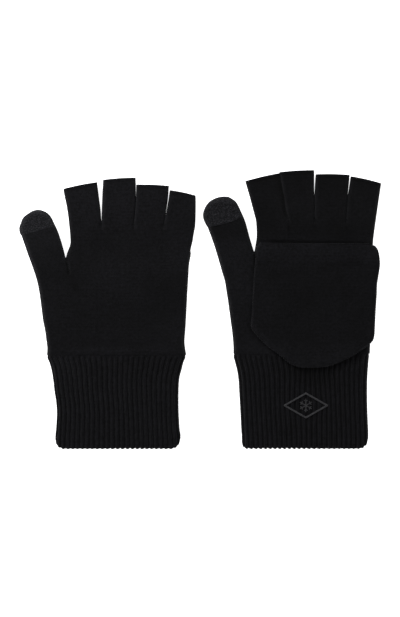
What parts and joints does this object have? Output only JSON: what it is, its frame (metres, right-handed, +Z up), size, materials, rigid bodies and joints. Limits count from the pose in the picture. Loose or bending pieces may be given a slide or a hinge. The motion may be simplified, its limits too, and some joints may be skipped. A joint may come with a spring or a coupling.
{
  "type": "convertible flip-top mittens",
  "caption": "Knitted half-finger gloves with a hood that folds over the fingers, a ribbed cuff and a full thumb with a touchscreen tip.",
  "frame": {"origin": "bottom centre of the pair's box, on the surface the pair lies on", "axes": "+Z up, +Y from the cuffs to the fingers, +X from the left glove to the right glove"},
  "size_m": [0.3056, 0.2358, 0.0118],
  "materials": {
    "jersey": "fine plain-knit jersey, matt black",
    "rib": "ribbed knit, matt black",
    "hood": "fine plain-knit jersey, matt black",
    "seam": "linked knit seam, matt black",
    "fingertip": "conductive melange knit, dark grey",
    "thread": "satin-stitch embroidery thread, dark grey"
  },
  "bodies": {
    "right_glove": {"right_cuff_outer": "rib", "right_cuff_lining": "rib", "right_hand": "jersey", "right_thumb": "jersey", "right_thumb_tip": "fingertip", "right_index_finger": "jersey", "right_middle_finger": "jersey", "right_ring_finger": "jersey", "right_little_finger": "jersey", "right_knuckle_seam": "seam", "right_embroidery": "thread"},
    "right_hood": {"right_hood_back": "hood", "right_hood_rim": "seam"},
    "right_hood_front": {"right_hood_palm": "hood", "right_hood_welt": "hood"},
    "left_glove": {"left_cuff_outer": "rib", "left_cuff_lining": "rib", "left_hand": "jersey", "left_thumb": "jersey", "left_thumb_tip": "fingertip", "left_index_finger": "jersey", "left_middle_finger": "jersey", "left_ring_finger": "jersey", "left_little_finger": "jersey", "left_knuckle_seam": "seam", "left_embroidery": "thread"},
    "left_hood": {"left_hood_back": "hood", "left_hood_rim": "seam"},
    "left_hood_front": {"left_hood_palm": "hood", "left_hood_welt": "hood"}
  },
  "joints": [
    {"name": "right_hood_flip", "type": "hinge", "parent": "right_glove", "child": "right_hood", "pos_m": [0.09768, 0.05613, 0.0093], "axis": [-1, 0, 0], "range_deg": [0, 179.9], "deforming": ["right_hood_palm", "right_hood_welt", "right_hood_rim"]},
    {"name": "right_hood_open", "type": "slide", "parent": "right_hood", "child": "right_hood_front", "axis": [0, 0, 1], "range_m": [0, 0.0068]},
    {"name": "left_hood_flip", "type": "hinge", "parent": "left_glove", "child": "left_hood", "pos_m": [-0.06122, 0.05212, 0.0025], "axis": [1, 0, 0], "range_deg": [0, 179.9], "deforming": ["left_hood_palm", "left_hood_welt", "left_hood_rim"]},
    {"name": "left_hood_open", "type": "slide", "parent": "left_hood", "child": "left_hood_front", "axis": [0, 0, -1], "range_m": [0, 0.0068]},
    {"name": "left_glove_lift", "type": "slide", "parent": "right_glove", "child": "left_glove", "axis": [0, 0, 1], "range_m": [0, 0.03]}
  ],
  "couplings": [
    {"joint": "right_hood_open", "follows": "right_hood_flip", "m_per_rad": 0.0021327},
    {"joint": "left_hood_open", "follows": "left_hood_flip", "m_per_rad": 0.0021327}
  ]
}
